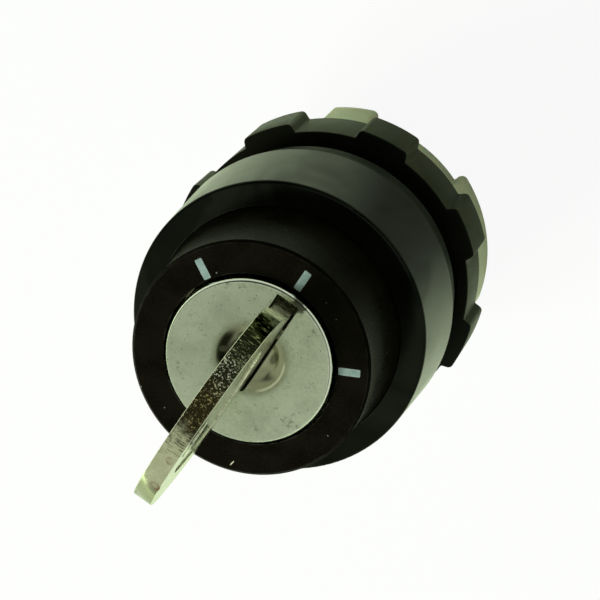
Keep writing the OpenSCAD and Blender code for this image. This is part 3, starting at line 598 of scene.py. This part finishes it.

# Painted shade: a dark crescent on the dish's left side with an unshaded patch in it. Also a darker patch beside
# the key and darkening round the end of the slot.
shade_way, unshaded_patch = (-0.97, -0.24, 0), (-2.62, -0.42, 0)
dark_patch_middle, dark_patch_scale, slot_corner = (1.85, 1.55, 0), (1.5, 0.75, 1), (0.9, 7.75, 0)
crescent_shade, dark_patch_grey, slot_end_black = colour(0.05, 0.06, 0.03), colour(0.1, 0.11, 0.07), colour(0.03, 0.035, 0.02)
crescent = product(tree, band(tree, from_dish, 2.3, 2.7), band(tree, from_dish, 3.5, 3.2),
                   spread(tree, dot_with(tree, towards_rim, shade_way), 0.76, 0.94),
                   band(tree, distance_to(tree, flat_place, unshaded_patch), 0.22, 0.42), 0.85)
base = mixed(tree, crescent, base, crescent_shade)
narrowed = add(tree, "Mapping", {"Vector": flat_place, "Scale": dark_patch_scale}).outputs[0]
off_dark_patch = distance_to(tree, narrowed, Vector(dark_patch_middle) * Vector(dark_patch_scale))
base = mixed(tree, band(tree, off_dark_patch, 0.75, 0.35, 0, 0.75), base, dark_patch_grey)
ragged = spread(tree, smear, 0.3, 0.7, -0.4 * mm, 0.4 * mm)
slot_end_darkening = maths(tree, "ADD", distance_to(tree, flat_place, slot_corner), ragged)
base = mixed(tree, band(tree, slot_end_darkening, 0.95, 0.45, 0, 0.9), base, slot_end_black)

# The slot's walls are dull and streaked; the rim and the dish are smoother than the blasted skin.
wall_deep, wall_pale = colour(0.05, 0.05, 0.025), colour(0.3, 0.31, 0.2)
upward = add(tree, "SeparateXYZ", {0: add(tree, "TexCoord").outputs["Normal"]}).outputs["Z"]
in_slot = product(tree, spread(tree, upward, 0.5, 0.2), band(tree, from_axis, 7.6, 7.4))
slot_colour = mixed(tree, spread(tree, smear, 0.4, 0.6), wall_deep, wall_pale)
smooth = maths(tree, "ADD", band(tree, from_axis, 7.75, 7.83), in_dish, limit=True)
blasted = spread(tree, skin.outputs["Tone"], 0, 1, 0.36, 0.46)
grain = product(tree, skin.outputs["Height"], spread(tree, smooth, 0, 1, 1.0, 0.15))
feed(tree, shader, Base_Color=mixed(tree, in_slot, base, slot_colour),
     Roughness=product(tree, blasted, spread(tree, smooth, 0, 1, 1.0, 0.28)), Normal=bump(tree, grain, 0.6, 0.016))

pressed = cut_away(turned("lock_face", cap_profile), dish_tool)
lock_face = add_piece("lock_face", cut_away(pressed, slot_tool), "rotor", face_steel)
ease = lock_face.modifiers.new("eased_slot", "BEVEL")
ease.width, ease.segments, ease.angle_limit = 0.1 * mm, 2, math.radians(50)
ease.harden_normals = True
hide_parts("lock_cap")
finish_node("lock_cap", face_steel)

# Plug, wafers and shell. Machined and die-cast metal parts of the lock, dulled and ribbed inside the key's slot.
# One spot of the plug beside the key is painted brighter, as a painted glint.
plug_deep, plug_pale, rib_pale = colour(0.04, 0.055, 0.025), colour(0.12, 0.14, 0.07), colour(0.5, 0.5, 0.32)
glint_bright, glint_middle, rib_stretch = colour(1, 1, 0.85), (1.1, 4.7, 43), (1, 0.15, 0.3)
dull_metal, tree, shader = new_material("dull_plated_plug", Metallic=1.0)
place = own_place(tree)
skin = use(tree, moulded_skin, Place=place, Grain=2600.0, Wave=500.0)
drawn = add(tree, "Mapping", {"Vector": place, "Scale": rib_stretch}).outputs[0]
ribs = noise(tree, drawn, 3200.0, 3.0)
base = mixed(tree, skin.outputs["Tone"], plug_deep, plug_pale)
base = mixed(tree, spread(tree, ribs, 0.5, 0.62), base, rib_pale)
base = mixed(tree, band(tree, distance_to(tree, place, glint_middle), 0.95, 0.8), base, glint_bright)
feed(tree, shader, Base_Color=base, Roughness=spread(tree, skin.outputs["Tone"], 0, 1, 0.35, 0.55),
     Normal=bump(tree, skin.outputs["Height"], 0.5, 0.02))
for name in ("lock_plug", "lock_shell", "wafer_1", "wafer_2", "wafer_3", "wafer_4", "wafer_5", "cam_screw"):
    finish_node(name, dull_metal)


# Key. A stamped key of nickel-plated brass with a round bow and a sunk panel on each side. Its sheared edge is
# smooth at the far end, torn in the middle and streaked across near the lock; handling left brown stains.
def between(tree, value, start, end):
    """Mask that rises over start and falls again over end, each a pair of values."""
    return product(tree, spread(tree, value, *start), spread(tree, value, *end))


# Places on the edge are angles, in degrees, round the middle of the bow: 0 towards the middle mark, 90 straight
# away from the lock, 180 on the other side. Each place starts or ends over the pair of angles given here.
bow_middle, ragged_turn = 57.0, 14
dark_band_start, dark_band_end, torn_start, torn_end = (-18, -8), (86, 74), (6, 20), (88, 76)
streak_start, streak_end, lock_streaks = (62, 76), (98, 84), (4, -12)
brown_start, glint_start, score_end, patch_start, far_start = (40, 58), (22, 40), (42, 24), (-12, -24), (117, 123)
flat_deep, flat_pale = colour(0.56, 0.57, 0.42), colour(0.66, 0.67, 0.52)
edge_deep, edge_pale, streak_dark = colour(0.52, 0.54, 0.34), colour(0.62, 0.64, 0.43), colour(0.1, 0.09, 0.04)
dark_band_green, dark_band_brown = colour(0.018, 0.02, 0.01), colour(0.034, 0.026, 0.008)
streak_stretch = (0.14, 1, 1)
key_metal, tree, shader = new_material("worn_nickel_key", Metallic=1.0)
place = own_place(tree)
skin = use(tree, moulded_skin, Place=place, Grain=3000.0, Wave=600.0)
at = add(tree, "SeparateXYZ", {0: place})
from_middle = maths(tree, "SUBTRACT", at.outputs["Z"], bow_middle * mm)
clean_turn = product(tree, maths(tree, "ARCTAN2", from_middle, at.outputs["Y"]), 180 / math.pi)
wander = noise(tree, place, 700.0, 4.0)
turn = maths(tree, "ADD", clean_turn, spread(tree, wander, 0, 1, -ragged_turn, ragged_turn, "LINEAR"))
facing = add(tree, "SeparateXYZ", {0: add(tree, "TexCoord").outputs["Normal"]}).outputs["X"]
sideways = maths(tree, "ABSOLUTE", facing)
sheared = spread(tree, sideways, 0.5, 0.2)
# Painted dark reflection: a near-black band along the sheared edge, browner along part of its torn stretch.
dark_band = product(tree, between(tree, turn, dark_band_start, dark_band_end), sheared)
torn = product(tree, between(tree, turn, torn_start, torn_end), sheared)
brown = product(tree, spread(tree, turn, *brown_start), torn)
streaked = maths(tree, "ADD", between(tree, turn, streak_start, streak_end), spread(tree, turn, *lock_streaks))
streaked = product(tree, streaked, sheared)
streaks = noise(tree, add(tree, "Mapping", {"Vector": place, "Scale": streak_stretch}).outputs[0], 8200.0, 3.0)
crystals = add(tree, "TexVoronoi", {"Vector": place, "Scale": 8500.0})
flash = add(tree, "SeparateColor", {0: crystals.outputs["Color"]}).outputs["Red"]
grains = noise(tree, place, 5200.0, 3.0, Roughness=0.65)
base = mixed(tree, sheared, mixed(tree, skin.outputs["Tone"], flat_deep, flat_pale),
             mixed(tree, skin.outputs["Tone"], edge_deep, edge_pale))
base = mixed(tree, product(tree, spread(tree, streaks, 0.52, 0.64), streaked), base, streak_dark)
base = mixed(tree, product(tree, dark_band, 0.97), base, mixed(tree, brown, dark_band_green, dark_band_brown))

# Bright places: painted crystal glints in the torn part, scores across the dark band, a painted highlight on the
# rounded corners, and a patch at the lock, rougher and painted brighter as a reflection of the lock face.
glint_white, glint_brown, score_pale = colour(1, 1, 0.85), colour(0.56, 0.48, 0.22), colour(0.5, 0.52, 0.3)
corner_highlight, reflected_face_bright = colour(1, 1, 0.85), colour(1, 1, 0.78)
lively = maths(tree, "SUBTRACT", maths(tree, "ADD", flash, grains), product(tree, brown, 0.06))
glints = product(tree, spread(tree, lively, 1.2, 1.5), product(tree, spread(tree, turn, *glint_start), torn))
base = mixed(tree, glints, base, mixed(tree, brown, glint_white, glint_brown))
scored = product(tree, dark_band, spread(tree, turn, *score_end))
base = mixed(tree, product(tree, spread(tree, streaks, 0.58, 0.68), scored), base, score_pale)
off_corner = maths(tree, "ABSOLUTE", maths(tree, "SUBTRACT", sideways, 0.6))
base = mixed(tree, spread(tree, off_corner, 0.3, 0.15), base, corner_highlight)
patch = product(tree, spread(tree, turn, *patch_start), sheared)
base = mixed(tree, product(tree, patch, spread(tree, streaks, 0.56, 0.46)), base, reflected_face_bright)

# Darker places: a painted shade over the far end, and two brown stains near it, each with its middle, its radius
# and how heavy its rim is.
far_shade_grey, stain_brown = colour(0.16, 0.16, 0.1), colour(0.2, 0.09, 0.03)
stains = (((0.4, -1.2, 66.68), 0.5, 0.6), ((0.5, -4.6, 65.6), 0.66, 1.0))
far_shade = product(tree, spread(tree, clean_turn, *far_start, 0.0, 0.72), sheared)
base = mixed(tree, far_shade, base, far_shade_grey)
for middle, radius, heavy in stains:
    away = distance_to(tree, place, middle)
    stain = product(tree, band(tree, away, radius, 0.6 * radius),
                    band(tree, away, 0.1 * radius, 0.7 * radius, 0.25, heavy))
    base = mixed(tree, product(tree, stain, spread(tree, wander, 0.3, 0.55)), base, stain_brown)

white, dull_tint = colour(1, 1, 1), colour(0.05, 0.05, 0.03)
polish = spread(tree, skin.outputs["Tone"], 0, 1, 0.14, 0.22)
rough = maths(tree, "ADD", maths(tree, "ADD", polish, product(tree, torn, 0.1)), product(tree, patch, 0.4))
relief = maths(tree, "ADD", product(tree, grains, torn), product(tree, streaks, streaked, 0.35))
relief = maths(tree, "ADD", relief, product(tree, skin.outputs["Height"], 0.03))
feed(tree, shader, Base_Color=base, Roughness=rough, Normal=bump(tree, relief, 1.0, 0.2),
     Specular_Tint=mixed(tree, dark_band, white, dull_tint))
finish_node("key", key_metal)
join_faces("key")
ease_edges("key", 0.1, 2)

# Small inner parts. Cam and plungers of moulded white acetal, clip, ball and springs of steel, seals of rubber and
# a guide plate of black nylon, all held inside the barrel.
acetal = black_plastic("white_acetal", colour(0.6, 0.58, 0.5), colour(0.7, 0.68, 0.6), rough=(0.35, 0.45),
                       grain=4800, relief=0.006, specks=0.0, worn=0.0)
for name in ("cam", "plunger_left", "plunger_right"):
    finish_node(name, acetal)
for name in ("plug_clip", "detent_ball", "detent_spring", "wafer_springs", "spring_left", "spring_right"):
    finish_node(name, dull_metal)
for name in ("shell_seal", "face_seal"):
    finish_node(name, gasket_rubber)
finish_node("rear_guide", nylon_black)
